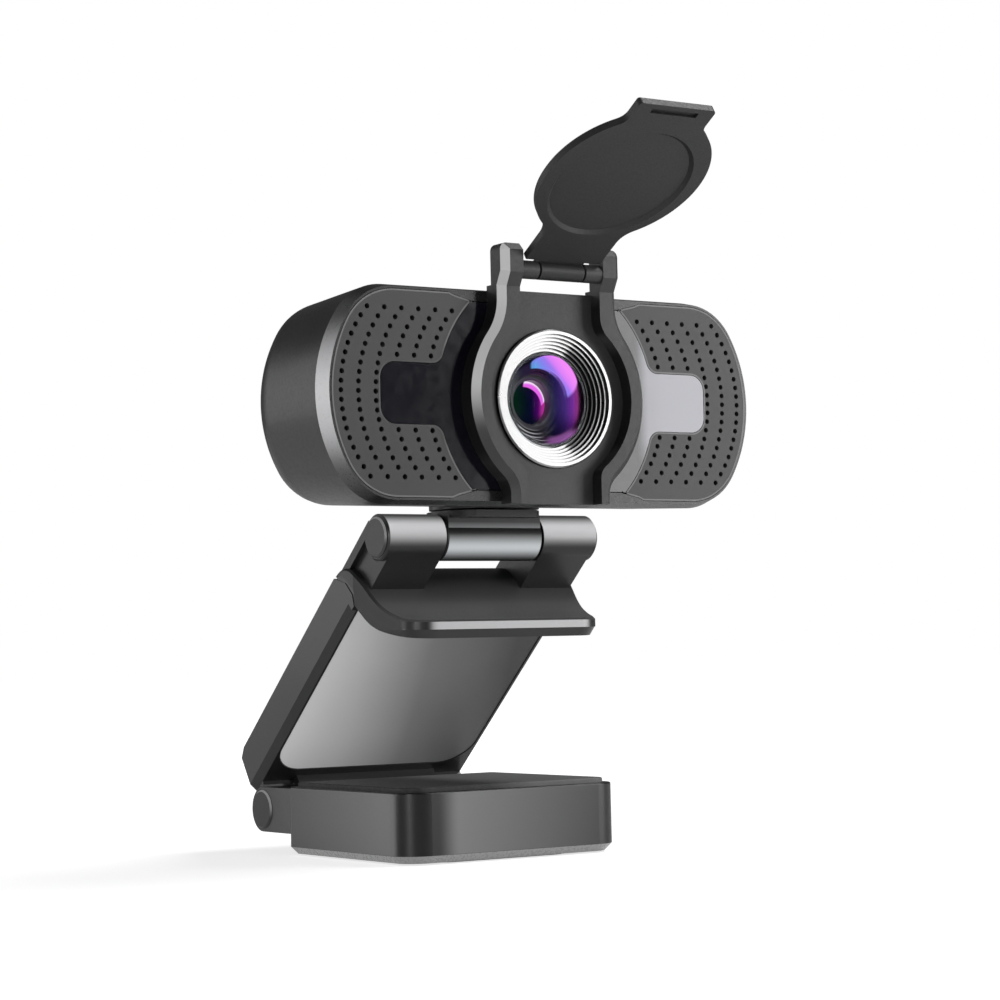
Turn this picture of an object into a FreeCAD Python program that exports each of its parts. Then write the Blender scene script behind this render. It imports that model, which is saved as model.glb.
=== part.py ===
# Webcam with a flip-up privacy flap, on a folding clip stand.
# Millimetres, +Z up, the lens looks along -Y. Every sub-part is drawn about the
# tilt hinge axis (X axis, y = 0, z = 0) and moved on saving, so that the origin of
# the finished part is the middle of the underside of the stand's base.
import FreeCAD, Part
import math
import os

V = FreeCAD.Vector

# ---- placing -----------------------------------------------------------------
TILT_Y = -11.45         # tilt axis in the finished part
TILT_Z = 53.6

# ---- head --------------------------------------------------------------------
LENS_Z = 21.6           # optical axis above the tilt axis
HEAD_Z = 21.8           # middle of the housing
HEAD_W = 42.1           # half width at the seam
HEAD_H = 17.5           # half height at the seam
END_R = 23.2            # radius of the rounded ends, seen from the front
CORNER_R = 10.0         # blend between the ends and the long edges
FACE_Y = -20.33         # front face
SEAM_Y = -17.5          # bezel to rear housing
BACK_Y = 8.5            # rearmost point
BACK_R = 9.0            # rounding round the back
BACK_SLIM = 1.3         # the housing is this much smaller at the back
BEZEL_IN = 0.9          # width lost by the bezel's bevelled band
WALL = 2.0
GRILLE_T = 1.5
FASCIA_R = 21.2
FASCIA_H = 15.1
ARM_X = 31.9
ARM_H = 4.85
HOLE_R = 0.43
HOLE_ROWS = 19
ROW_PITCH = 1.485
HOLE_COLS = (39.1, 35.95, 32.8, 29.65, 26.5, 23.35)
HOLE_ARC = 20.3
SHORT_COLS_FROM = 3     # these columns stop above and below the window arm
SHORT_ROWS = 6

# ---- lens --------------------------------------------------------------------
RING_R = 11.3
RING_Y = -22.6
RING_STEPS = 5
STEP_R = 0.52
STEP_Y = 0.5
RING_BORE = 7.95

# ---- shutter -----------------------------------------------------------------
FRAME_R = 16.9
FRAME_Y = -25.6         # front of the two ears
RIM_Y = -24.4           # front of the ring part
RAMP_LOW = 39.2         # the front slopes from the ring part to the ears
RAMP_HIGH = 41.4
RIM_BEVEL = 1.15
FRAME_FOOT_X = 9.7      # half width of the lower end
FRAME_FLOOR = -21.9
FRAME_BOTTOM = 4.4
EAR_TOP = 46.2
EAR_X = 11.6
EAR_IN = 7.85
EAR_BACK = -21.6
FLOOR_TOP = 38.9
POCKET_R = 13.8
POCKET_FOOT_X = 7.3     # half width of the pocket's lower end
HINGE_Y = -24.0
HINGE_Z = 42.1
FLAP_R = 14.6
FLAP_C = 22.2           # disc centre below the flap hinge when shut
FLAP_T = 1.5
FLAP_LIFT = 0.5         # inner face of the shut flap ahead of its hinge axis
FLAP_END = 39.3
FLAP_NECK = 7.3
DISH_R = 12.2
DISH_C = 21.1           # dish centre below the flap hinge when shut
DISH_DEPTH = 0.55
FLAP_OPEN = -121.5      # drawn this far open

# ---- leg and lip -------------------------------------------------------------
LEG_A = math.radians(41.0)
LEG_BACK = 3.95         # back plane from the tilt axis
LEG_FRONT = -3.9        # front plane from the tilt axis
LEG_X = 21.6
BARREL_R = 3.9
BARREL_X = 21.0
NECK_X = 9.5
ARM_IN = 9.8
ARM_OUT = 20.1
PIN_R = 1.5
PIN_BORE = 1.55
LIP_X = 18.4            # half width of the lip at its front edge
LIP_Y = -8.2            # front edge of the lip
LIP_SEAM = -15.35       # seam between the lip's two layers
LIP_LOW = -17.2         # underside of the lower layer
LIP_CORNER = 5.0

# ---- base --------------------------------------------------------------------
BASE_X = 21.6
BASE_Y0 = -8.3
BASE_Y1 = 31.2
BASE_BOTTOM = -53.3
FOOT_BOTTOM = -53.6
BASE_SPLIT = -52.0
BASE_TOP = -41.8
PAD_TOP = -41.0
FOLD_Y = 40.5
FOLD_Z = -46.0
KNUCKLE_X = 14.7
TRIPOD_R = 3.175


# ---- helpers -----------------------------------------------------------------
def save(name, shape):
    if isinstance(shape, (list, tuple)):
        shape = Part.makeCompound(list(shape))
    shape = shape.copy()
    shape.translate(V(0, TILT_Y, TILT_Z))
    shape.exportStep("parts/" + name + ".step")
    print(name, len(shape.Solids), round(shape.Volume, 1), shape.isValid())


def box(x0, x1, y0, y1, z0, z1):
    return Part.makeBox(x1 - x0, y1 - y0, z1 - z0, V(x0, y0, z0))


def cyl_x(y, z, r, x0, x1):
    return Part.makeCylinder(r, x1 - x0, V(x0, y, z), V(1, 0, 0))


def cyl_y(x, z, r, y0, y1):
    return Part.makeCylinder(r, y1 - y0, V(x, y0, z), V(0, 1, 0))


def cyl_z(x, y, r, z0, z1):
    return Part.makeCylinder(r, z1 - z0, V(x, y, z0), V(0, 0, 1))


def side_prism(points, x0, x1):
    """A side profile given as (y, z) points, pulled along X."""
    loop = [V(x0, p[0], p[1]) for p in points]
    loop.append(loop[0])
    return Part.Face(Part.makePolygon(loop)).extrude(V(x1 - x0, 0, 0))


def turned_y(profile, x, z):
    """A closed (radius, y) profile turned about an axis along Y."""
    loop = [V(x + p[0], p[1], z) for p in profile]
    loop.append(loop[0])
    return Part.Face(Part.makePolygon(loop)).revolve(V(x, 0, z), V(0, 1, 0), 360)


def edges_y(shape, spots, tol=0.06):
    """Edges that run along Y through the given (x, z) spots."""
    found = []
    for edge in shape.Edges:
        a = edge.Vertexes[0].Point
        b = edge.Vertexes[-1].Point
        if abs(a.x - b.x) > tol or abs(a.z - b.z) > tol or abs(a.y - b.y) < 0.2:
            continue
        for x, z in spots:
            if abs(a.x - x) < tol and abs(a.z - z) < tol:
                found.append(edge)
    return found


def edges_z(shape, spots, tol=0.06):
    """Edges that run along Z through the given (x, y) spots."""
    found = []
    for edge in shape.Edges:
        a = edge.Vertexes[0].Point
        b = edge.Vertexes[-1].Point
        if abs(a.x - b.x) > tol or abs(a.y - b.y) > tol or abs(a.z - b.z) < 0.2:
            continue
        for x, y in spots:
            if abs(a.x - x) < tol and abs(a.y - y) < tol:
                found.append(edge)
    return found


def edges_at(shape, axis, value, tol=0.01):
    """Edges that lie wholly in one plane across an axis (0, 1, 2 for X, Y, Z)."""
    found = []
    for edge in shape.Edges:
        bb = edge.BoundBox
        low = (bb.XMin, bb.YMin, bb.ZMin)[axis]
        high = (bb.XMax, bb.YMax, bb.ZMax)[axis]
        if abs(low - value) < tol and abs(high - value) < tol:
            found.append(edge)
    return found


def rounded_box(x0, x1, y0, y1, z0, z1, r):
    solid = box(x0, x1, y0, y1, z0, z1)
    spots = [(x, y) for x in (x0, x1) for y in (y0, y1)]
    return solid.makeFillet(r, edges_z(solid, spots))


def mirror_x(shape):
    return shape.mirror(V(0, 0, 0), V(1, 0, 0))


def both(shape):
    return [shape, mirror_x(shape)]


def leg_point(n, s):
    """(y, z) of a point n out of the leg's mid plane and s down along the leg."""
    y = n * math.sin(LEG_A) + s * math.cos(LEG_A)
    z = n * math.cos(LEG_A) - s * math.sin(LEG_A)
    return (y, z)


def curve_prism(top, low, x0, x1):
    """A bent plate between two curves of (y, z) points, pulled along X."""
    def spline(points):
        curve = Part.BSplineCurve()
        curve.interpolate([V(x0, p[0], p[1]) for p in points])
        return curve.toShape()
    a = spline(top)
    b = spline(low)
    end1 = Part.makeLine(V(x0, *top[-1]), V(x0, *low[-1]))
    end2 = Part.makeLine(V(x0, *low[0]), V(x0, *top[0]))
    wire = Part.Wire(Part.__sortEdges__([a, end1, b, end2]))
    return Part.Face(wire).extrude(V(x1 - x0, 0, 0))


def screw(r_head, t_head, r_shank, length):
    """Pan head screw pointing down -Z with its seat at z = 0."""
    head = Part.makeCylinder(r_head, t_head)
    head = head.makeFillet(0.35 * t_head, edges_at(head, 2, t_head))
    for angle in (0, 90):
        slot = box(-0.65 * r_head, 0.65 * r_head, -0.14 * r_head, 0.14 * r_head,
                   0.45 * t_head, t_head + 1)
        slot.rotate(V(0, 0, 0), V(0, 0, 1), angle)
        head = head.cut(slot)
    shank = Part.makeCylinder(r_shank, length, V(0, 0, -length))
    tip = shank.makeChamfer(0.4 * r_shank, edges_at(shank, 2, -length))
    return head.fuse(tip).removeSplitter()


def pointed(shape, direction, place):
    """Turn a +Z part so that its +Z looks along direction, then place it."""
    out = shape.copy()
    turn = FreeCAD.Rotation(V(0, 0, 1), V(*direction))
    out.Placement = FreeCAD.Placement(V(*place), turn).multiply(out.Placement)
    return out


# ---- head housing ------------------------------------------------------------
def outline(w, h, y):
    """Front outline: straight long edges, rounded ends and blended corners."""
    cx = w - END_R
    fx = cx + math.sqrt((END_R - CORNER_R) ** 2 - (h - CORNER_R) ** 2)
    reach = math.hypot(fx - cx, h - CORNER_R)
    tx = cx + (fx - cx) * END_R / reach
    tz = (h - CORNER_R) * END_R / reach
    half = math.atan2(h - CORNER_R, fx - cx)
    mid = (half + math.pi / 2) / 2
    mx = fx + CORNER_R * math.cos(mid)
    mz = h - CORNER_R + CORNER_R * math.sin(mid)

    def p(x, z):
        return V(x, y, HEAD_Z + z)
    parts = [
        Part.makeLine(p(-fx, h), p(fx, h)),
        Part.Arc(p(fx, h), p(mx, mz), p(tx, tz)).toShape(),
        Part.Arc(p(tx, tz), p(w, 0), p(tx, -tz)).toShape(),
        Part.Arc(p(tx, -tz), p(mx, -mz), p(fx, -h)).toShape(),
        Part.makeLine(p(fx, -h), p(-fx, -h)),
        Part.Arc(p(-fx, -h), p(-mx, -mz), p(-tx, -tz)).toShape(),
        Part.Arc(p(-tx, -tz), p(-w, 0), p(-tx, tz)).toShape(),
        Part.Arc(p(-tx, tz), p(-mx, mz), p(-fx, h)).toShape(),
    ]
    return Part.Wire(parts)


def lofted(w0, h0, y0, w1, h1, y1):
    wires = [outline(w0, h0, y0), outline(w1, h1, y1)]
    return Part.makeLoft(wires, True, True)


def dome(inset, y0, back, back_r):
    """The housing's rounded solid, shrunk by inset."""
    slope = BACK_SLIM / (BACK_Y - SEAM_Y)
    slim0 = slope * (y0 - SEAM_Y)
    slim1 = slope * (back - SEAM_Y)
    w = HEAD_W - inset
    h = HEAD_H - inset
    solid = lofted(w - slim0, h - slim0, y0, w - slim1, h - slim1, back)
    return solid.makeFillet(back_r, edges_at(solid, 1, back))


POSTS = [(x, HEAD_Z + z) for x in (-33.0, 33.0) for z in (-8.6, 8.6)]
BOARD_POSTS = [(x, LENS_Z + z) for x in (-25.0, 25.0) for z in (-8.5, 8.5)]
GLAND_X = 12.0
GLAND_Z = 19.2


def rear_housing():
    outer = dome(0, SEAM_Y, BACK_Y, BACK_R)
    inner = dome(WALL, SEAM_Y - 0.01, BACK_Y - WALL, BACK_R - 1.5)
    shell = outer.cut(inner)
    inside = dome(0.8, SEAM_Y, BACK_Y - 0.8, BACK_R - 0.5)
    adds = []
    for x, z in POSTS:
        adds.append(cyl_y(x, z, 2.6, SEAM_Y + 0.3, BACK_Y).common(inside))
    for x, z in BOARD_POSTS:
        adds.append(cyl_y(x, z, 2.3, -1.9, BACK_Y).common(inside))
    boss = cyl_z(0, 0, 9.5, 4.65, 8.0).common(cyl_z(0, -1.5, 9.9, 4.0, 8.5))
    adds.append(boss)
    shell = shell.fuse(adds).removeSplitter()
    cuts = [cyl_y(x, z, 1.05, SEAM_Y, -8.0) for x, z in POSTS]
    cuts += [cyl_y(x, z, 1.05, -2.5, 4.5) for x, z in BOARD_POSTS]
    cuts.append(cyl_z(0, 0, 3.45, 3.0, 9.0))
    cuts.append(cyl_z(0, 0, 4.8, 8.0, 12.5))
    cuts.append(cyl_z(0, 0, 11.0, 2.0, 4.65).cut(box(-12, 12, -12, -7.5, 0, 9)))
    cuts.append(cyl_y(GLAND_X, GLAND_Z, 3.1, 0, BACK_Y + 1))
    return shell.cut(cuts)


def panel_edge(x_in, x_out, h, dip):
    """Solid that trims the long edges of a grille down beside the lens."""
    zt = HEAD_Z + h
    out = []
    for sign in (1, -1):
        pts = [(x_in, sign * (h - dip)), (x_out - 1.2, sign * (h - 0.35 * dip)),
               (x_out, sign * h), (x_out, sign * (h + 2)), (x_in - 9, sign * (h + 2)),
               (x_in - 9, sign * (h - dip))]
        loop = [V(x, -30, HEAD_Z + z) for x, z in pts]
        loop.append(loop[0])
        out.append(Part.Face(Part.makePolygon(loop)).extrude(V(0, 40, 0)))
    return out


def fascia_blank(extra, y0, y1):
    """Middle disc with two window arms, grown sideways by extra."""
    disc = cyl_y(0, LENS_Z, FASCIA_R + extra, y0, y1)
    high = FASCIA_H + extra
    disc = disc.common(box(-40, 40, y0, y1, HEAD_Z - high, HEAD_Z + high))
    x = ARM_X + extra
    z = ARM_H + extra
    arms = box(-x, x, y0, y1, HEAD_Z - z, HEAD_Z + z)
    spots = [(sx * x, HEAD_Z + sz * z) for sx in (-1, 1) for sz in (-1, 1)]
    arms = arms.makeFillet(2.6 + extra, edges_y(arms, spots))
    solid = disc.fuse(arms).removeSplitter()
    corner = []
    for edge in solid.Edges:
        a = edge.Vertexes[0].Point
        b = edge.Vertexes[-1].Point
        along = abs(a.y - b.y) > 0.2 and abs(a.x - b.x) < 0.01
        on_arm = abs(abs(a.z - HEAD_Z) - z) < 0.02 and abs(a.x) < 24
        if along and on_arm:
            corner.append(edge)
    return solid.makeFillet(2.2 - extra, corner)


def front_bezel():
    ring = lofted(HEAD_W - BEZEL_IN, HEAD_H - BEZEL_IN + 0.3, FACE_Y, HEAD_W, HEAD_H, SEAM_Y)
    pocket_w = HEAD_W - BEZEL_IN - 0.35
    pocket_h = HEAD_H - BEZEL_IN - 0.05
    floor_y = FACE_Y + GRILLE_T
    pocket = lofted(pocket_w, pocket_h, FACE_Y - 1, pocket_w, pocket_h, floor_y)
    pocket = pocket.cut(panel_edge(14.2, 19.0, pocket_h, 1.3))
    mirrored = [mirror_x(s) for s in panel_edge(14.2, 19.0, pocket_h, 1.3)]
    pocket = pocket.cut(mirrored)
    bezel = ring.cut(pocket)
    slope = BACK_SLIM / (BACK_Y - SEAM_Y)
    wi = WALL + 0.1
    skirt = lofted(HEAD_W - wi, HEAD_H - wi, SEAM_Y, HEAD_W - wi - 3 * slope,
                   HEAD_H - wi - 3 * slope, SEAM_Y + 3)
    hollow = lofted(HEAD_W - wi - 1.2, HEAD_H - wi - 1.2, SEAM_Y - 0.01,
                    HEAD_W - wi - 1.3, HEAD_H - wi - 1.3, SEAM_Y + 3.1)
    bezel = bezel.fuse(skirt.cut(hollow))
    cuts = [cyl_y(0, LENS_Z, RING_R + 0.1, FACE_Y - 1, SEAM_Y + 1)]
    for x, z in POSTS:
        cuts.append(cyl_y(x, z, 2.75, SEAM_Y, SEAM_Y + 4))
        cuts.append(cyl_y(x, z, 1.2, FACE_Y - 1, SEAM_Y + 4))
        cuts.append(cyl_y(x, z, 2.1, FACE_Y - 1, SEAM_Y - 0.6))
    for x in (-34.6, 34.6):
        cuts.append(cyl_y(x, HEAD_Z, 1.0, FACE_Y - 1, SEAM_Y + 1))
    cuts.append(cyl_y(26.0, HEAD_Z, 1.6, FACE_Y - 1, SEAM_Y + 1))
    return bezel.cut(cuts).removeSplitter()


def grille_right():
    w = HEAD_W - BEZEL_IN - 0.45
    h = HEAD_H - BEZEL_IN - 0.15
    plate = lofted(w, h, FACE_Y, w, h, FACE_Y + GRILLE_T)
    plate = plate.common(box(5, 60, -40, 0, -20, 60))
    plate = plate.cut(panel_edge(14.1, 18.9, h, 1.3))
    plate = plate.cut(fascia_blank(0.1, FACE_Y - 1, FACE_Y + 5))
    keep = [s for s in plate.Solids if s.BoundBox.XMax > 30]
    plate = keep[0]
    holes = []
    half = (HOLE_ROWS - 1) // 2
    for col, x_mid in enumerate(HOLE_COLS):
        for row in range(-half, half + 1):
            short = col >= SHORT_COLS_FROM
            if short and abs(row) <= half - SHORT_ROWS:
                continue
            dz = row * ROW_PITCH
            x = x_mid - (HOLE_ARC - math.sqrt(HOLE_ARC ** 2 - dz ** 2))
            holes.append(cyl_y(x, HEAD_Z + 0.1 + dz, HOLE_R, FACE_Y - 1, FACE_Y + 3))
    return plate.cut(holes)


def fascia_panel():
    plate = fascia_blank(0, FACE_Y, FACE_Y + GRILLE_T)
    return plate.cut(cyl_y(0, LENS_Z, RING_R + 0.1, -30, 0))


def housing_screws():
    out = []
    for x, z in POSTS:
        out.append(pointed(screw(1.9, 0.7, 1.0, 8.0), (0, -1, 0), (x, SEAM_Y - 0.6, z)))
    return out


# ---- lens and electronics ----------------------------------------------------
def lens_ring():
    profile = [(RING_R, -17.4), (RING_R, RING_Y + 0.25), (RING_R - 0.25, RING_Y)]
    r = RING_R - 0.75
    y = RING_Y
    profile.append((r, y))
    for _ in range(RING_STEPS):
        y += STEP_Y
        profile.append((r, y))
        r -= STEP_R
        profile.append((r, y))
    profile[-1] = (RING_BORE, y)
    profile.append((RING_BORE, -17.4))
    return turned_y(profile, 0, LENS_Z)


def lens_barrel():
    profile = [(7.85, -19.9), (7.85, -17.3), (10.6, -17.3), (10.6, -16.1), (7.6, -16.1),
               (5.95, -15.2), (5.95, -6.0), (3.2, -6.0), (3.2, -11.8), (3.65, -11.8),
               (3.65, -15.4), (4.1, -15.4), (4.5, -15.9), (4.5, -16.2), (5.1, -16.2),
               (5.1, -16.5), (5.8, -16.5), (5.8, -16.8), (6.5, -16.8), (6.5, -17.1),
               (7.4, -17.1), (7.4, -19.9)]
    return turned_y(profile, 0, LENS_Z)


def element(r, edge0, edge1, bulge0, bulge1, z):
    """Round lens between two spherical faces; a bulge is counted towards the front."""
    def arc(y_edge, bulge):
        return Part.Arc(V(0, y_edge - bulge, z), V(r * 0.5, y_edge - bulge * 0.75, z),
                        V(r, y_edge, z)).toShape()
    front = arc(edge0, bulge0)
    back = arc(edge1, bulge1)
    rim = Part.makeLine(V(r, edge0, z), V(r, edge1, z))
    axis = Part.makeLine(V(0, edge1 - bulge1, z), V(0, edge0 - bulge0, z))
    wire = Part.Wire(Part.__sortEdges__([front, rim, back, axis]))
    return Part.Face(wire).revolve(V(0, 0, z), V(0, 1, 0), 360)


def lens_front():
    return element(7.3, -18.7, -17.15, 1.0, 0.4, LENS_Z)


def lens_retainer():
    return turned_y([(6.7, -19.2), (7.38, -18.75), (7.38, -19.7), (7.0, -19.7)], 0, LENS_Z)


def lens_rear():
    return element(3.6, -13.9, -12.2, 0.9, -0.3, LENS_Z)


def lens_holder():
    body = box(-9, 9, -11.5, -3.5, LENS_Z - 9, LENS_Z + 9)
    spots = [(x, LENS_Z + z) for x in (-9, 9) for z in (-9, 9)]
    body = body.makeFillet(1.5, edges_y(body, spots))
    body = body.cut(cyl_y(0, LENS_Z, 6.0, -12, -5.9))
    body = body.cut(box(-4.1, 4.1, -6.4, -5.4, LENS_Z - 4.1, LENS_Z + 4.1))
    body = body.cut(box(-3.4, 3.4, -6, -4.8, LENS_Z - 3.4, LENS_Z + 3.4))
    return body.cut(box(-5.3, 5.3, -4.9, -3, LENS_Z - 5.3, LENS_Z + 5.3))


def ir_filter():
    return box(-4, 4, -5.75, -5.4, LENS_Z - 4, LENS_Z + 4)


def image_sensor():
    body = box(-4.5, 4.5, -4.4, -3.4, LENS_Z - 4.5, LENS_Z + 4.5)
    return body.cut(box(-3.6, 3.6, -4.5, -4.2, LENS_Z - 3.6, LENS_Z + 3.6))


def main_board():
    board = box(-28.5, 28.5, -3.4, -1.95, LENS_Z - 11, LENS_Z + 11)
    spots = [(x, LENS_Z + z) for x in (-28.5, 28.5) for z in (-11, 11)]
    board = board.makeFillet(2.0, edges_y(board, spots))
    return board.cut([cyl_y(x, z, 1.15, -5, 0) for x, z in BOARD_POSTS])


def board_screws():
    return [pointed(screw(1.9, 1.2, 1.0, 6.0), (0, -1, 0), (x, -3.4, z)) for x, z in BOARD_POSTS]


def image_processor():
    return box(-5.5, 5.5, -1.95, -0.9, LENS_Z - 3.5, LENS_Z + 7.5)


def cable_socket():
    body = box(7.4, 16.6, -1.95, 2.6, LENS_Z - 10.4, LENS_Z - 6.2)
    pins = [box(8.4 + 1.9 * i, 9.6 + 1.9 * i, -0.6, 3, LENS_Z - 9.4, LENS_Z - 7.4)
            for i in range(4)]
    return body.cut(pins)


def cable_gland():
    """Rubber bush in the back wall, with the free bore that takes a cord."""
    y = BACK_Y
    profile = [(1.9, y - 4.2), (4.3, y - 4.2), (4.3, y - 2.05), (3.05, y - 2.05),
               (3.05, y + 0.02), (4.3, y + 0.02), (4.1, y + 0.9), (3.2, y + 1.6),
               (1.9, y + 1.6)]
    return turned_y(profile, GLAND_X, GLAND_Z)


def microphones():
    mic = cyl_y(34.6, HEAD_Z, 2.0, SEAM_Y + 0.6, SEAM_Y + 2.6)
    return both(mic)


def mic_boots():
    boot = cyl_y(34.6, HEAD_Z, 2.7, SEAM_Y, SEAM_Y + 3.4)
    boot = boot.cut(cyl_y(34.6, HEAD_Z, 2.0, SEAM_Y + 0.6, SEAM_Y + 4))
    boot = boot.cut(cyl_y(34.6, HEAD_Z, 0.9, SEAM_Y - 1, SEAM_Y + 1))
    return both(boot)


def status_led():
    body = cyl_y(26.0, HEAD_Z, 1.5, FACE_Y + GRILLE_T + 0.05, SEAM_Y + 2.6)
    return body.fuse(cyl_y(26.0, HEAD_Z, 1.9, SEAM_Y, SEAM_Y + 0.9)).removeSplitter()


# ---- privacy shutter ---------------------------------------------------------
def frame_corners(solid, half, radius, centre, upper):
    dz = math.sqrt(radius ** 2 - half ** 2)
    z = centre + dz if upper else centre - dz
    return edges_y(solid, [(-half, z), (half, z)], 0.1)


def frame_front():
    """Front profile of the frame: everything ahead of it is cut away."""
    ahead = FRAME_Y - 5
    below = FRAME_BOTTOM - 5
    return side_prism([(ahead, below), (RIM_Y, below), (RIM_Y, RAMP_LOW), (FRAME_Y, RAMP_HIGH),
                       (ahead, RAMP_HIGH)], -FRAME_R - 5, FRAME_R + 5)


def front_edges(solid):
    """Side edges of the frame's front, apart from its level ends."""
    out = []
    for edge in solid.Edges:
        bb = edge.BoundBox
        if bb.YMax < RIM_Y + 0.01 and bb.ZMax - bb.ZMin > 0.1:
            out.append(edge)
    return out


def shutter_frame():
    body = cyl_y(0, LENS_Z, FRAME_R, FRAME_Y, FACE_Y)
    body = body.fuse([box(-EAR_X, EAR_X, FRAME_Y, FACE_Y, LENS_Z, EAR_TOP),
                      box(-FRAME_FOOT_X, FRAME_FOOT_X, FRAME_Y, FACE_Y, FRAME_BOTTOM, LENS_Z)])
    body = body.common(box(-20, 20, FRAME_Y, FACE_Y, FRAME_BOTTOM, 60)).removeSplitter()
    body = body.makeFillet(9.0, frame_corners(body, EAR_X, FRAME_R, LENS_Z, True))
    body = body.makeFillet(4.0, frame_corners(body, FRAME_FOOT_X, FRAME_R, LENS_Z, False))
    body = body.makeFillet(1.2, edges_y(body, [(-EAR_X, EAR_TOP), (EAR_X, EAR_TOP)]))
    body = body.cut(frame_front())
    body = body.makeChamfer(RIM_BEVEL, front_edges(body))
    ahead = FRAME_Y - 1
    pocket = cyl_y(0, LENS_Z, POCKET_R, ahead, FRAME_FLOOR)
    pocket = pocket.fuse([box(-EAR_IN, EAR_IN, ahead, FRAME_FLOOR, LENS_Z, EAR_TOP + 5),
                          box(-POCKET_FOOT_X, POCKET_FOOT_X, ahead, FRAME_FLOOR, -10, LENS_Z)])
    pocket = pocket.removeSplitter()
    pocket = pocket.makeFillet(4.5, frame_corners(pocket, EAR_IN, POCKET_R, LENS_Z, True))
    pocket = pocket.makeFillet(2.5, frame_corners(pocket, POCKET_FOOT_X, POCKET_R, LENS_Z, False))
    cuts = [pocket,
            cyl_y(0, LENS_Z, RING_R + 0.1, -40, 0),
            box(-EAR_IN, EAR_IN, -40, 0, FLOOR_TOP, 60),
            box(-20, 20, EAR_BACK, 0, HEAD_Z + HEAD_H + 0.3, 60)]
    body = body.cut(cuts)
    knobs = []
    for side in (-1, 1):
        x0, x1 = sorted((side * 4.6, side * (EAR_IN + 0.5)))
        knobs.append(cyl_x(HINGE_Y, HINGE_Z, 1.5, x0, x1))
    body = body.fuse(knobs).removeSplitter()
    return body.cut(cyl_x(HINGE_Y, HINGE_Z, 0.65, -10.2, 10.2))


def shutter_pin():
    return cyl_x(HINGE_Y, HINGE_Z, 0.6, -10.0, 10.0)


def flap_shut():
    y1 = HINGE_Y - FLAP_LIFT
    y0 = y1 - FLAP_T
    centre = HINGE_Z - FLAP_C
    body = cyl_y(0, centre, FLAP_R, y0, y1)
    body = body.fuse([box(-FLAP_NECK, FLAP_NECK, y0, y1, centre, HINGE_Z - 2.0),
                      box(-FLAP_NECK, FLAP_NECK, y0, y1, HINGE_Z - FLAP_END, centre)])
    body = body.removeSplitter()
    body = body.makeFillet(4.0, frame_corners(body, FLAP_NECK, FLAP_R, centre, True))
    body = body.makeFillet(2.0, frame_corners(body, FLAP_NECK, FLAP_R, centre, False))
    spots = [(s * FLAP_NECK, HINGE_Z - FLAP_END) for s in (-1, 1)]
    body = body.makeFillet(0.7, edges_y(body, spots))
    body = body.makeChamfer(0.35, edges_at(body, 1, y0))
    floor_y = y1 - DISH_DEPTH
    dish = Part.makeCone(DISH_R - 0.6, DISH_R + 0.1, DISH_DEPTH + 0.1, V(0, floor_y, HINGE_Z - DISH_C),
                         V(0, 1, 0))
    lip = box(-4.4, 4.4, y1 - 0.45, y1 + 1, HINGE_Z - FLAP_END + 0.9, HINGE_Z - FLAP_END + 1.9)
    body = body.cut([dish, lip])
    web = box(-4.2, 4.2, y0, y1, HINGE_Z - 2.6, HINGE_Z)
    barrel = cyl_x(HINGE_Y, HINGE_Z, 1.5, -4.2, 4.2)
    body = body.fuse([web, barrel]).removeSplitter()
    return body.cut(cyl_x(HINGE_Y, HINGE_Z, 0.66, -10, 10))


def shutter_flap():
    flap = flap_shut()
    flap.rotate(V(0, HINGE_Y, HINGE_Z), V(1, 0, 0), FLAP_OPEN)
    return flap


# ---- neck --------------------------------------------------------------------
def neck_block():
    barrel = cyl_x(0, 0, BARREL_R, -NECK_X, NECK_X)
    barrel = barrel.makeChamfer(0.25, edges_at(barrel, 0, -NECK_X) + edges_at(barrel, 0, NECK_X))
    riser = box(-NECK_X + 0.3, NECK_X - 0.3, -3.6, 3.6, 0, 3.6)
    collar = cyl_z(0, 0, 9.5, 3.2, 4.35).common(box(-9.5, 9.5, -7.3, 7.3, 3, 5))
    spigot = cyl_z(0, 0, 3.4, 3.0, 8.1)
    body = barrel.fuse([riser, collar, spigot]).removeSplitter()
    return body.cut([cyl_x(0, 0, PIN_BORE, -12, 12), cyl_z(0, 0, 1.25, 2.9, 9)])


def swivel_washer():
    ring = cyl_z(0, 0, 4.4, 8.1, 8.7)
    return ring.cut(cyl_z(0, 0, 1.35, 7, 9))


def swivel_screw():
    return pointed(screw(2.5, 1.3, 1.2, 5.6), (0, 0, 1), (0, 0, 8.7))


# ---- leg ---------------------------------------------------------------------
SEAM_CURVE = [(12.7, -6.1), (11.2, -5.95), (9.6, -6.5), (7.7, -7.9), (6.2, -9.3), (4.6, -10.9),
              (1.9, -13.0), (-0.6, -14.2), (-3.1, -14.9), (-8.2, -15.4)]
TOP_CURVE = [(12.9, -5.8), (11.6, -5.1), (9.9, -4.75), (8.0, -5.1), (6.2, -6.2), (4.2, -8.0),
             (1.9, -10.3), (-1.2, -12.3), (-4.4, -13.4), (-8.2, -13.8)]
LOW_CURVE = [(7.0, -10.9), (5.2, -12.7), (3.1, -14.4), (0.9, -15.4), (-1.5, -16.1),
             (-4.5, -16.6), (-8.2, -16.9)]


def lip_plan(z0, z1, inset=0.0):
    """Plan outline of the lip: sides that draw in towards round front corners."""
    x = LIP_X - inset
    y = LIP_Y + inset
    wide = LEG_X - inset
    loop = [V(-wide, 60, z0), V(-wide, 7, z0), V(-x, y, z0), V(x, y, z0), V(wide, 7, z0), V(wide, 60, z0)]
    loop.append(loop[0])
    solid = Part.Face(Part.makePolygon(loop)).extrude(V(0, 0, z1 - z0))
    return solid.makeFillet(LIP_CORNER - inset, edges_z(solid, [(-x, y), (x, y)]))


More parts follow.
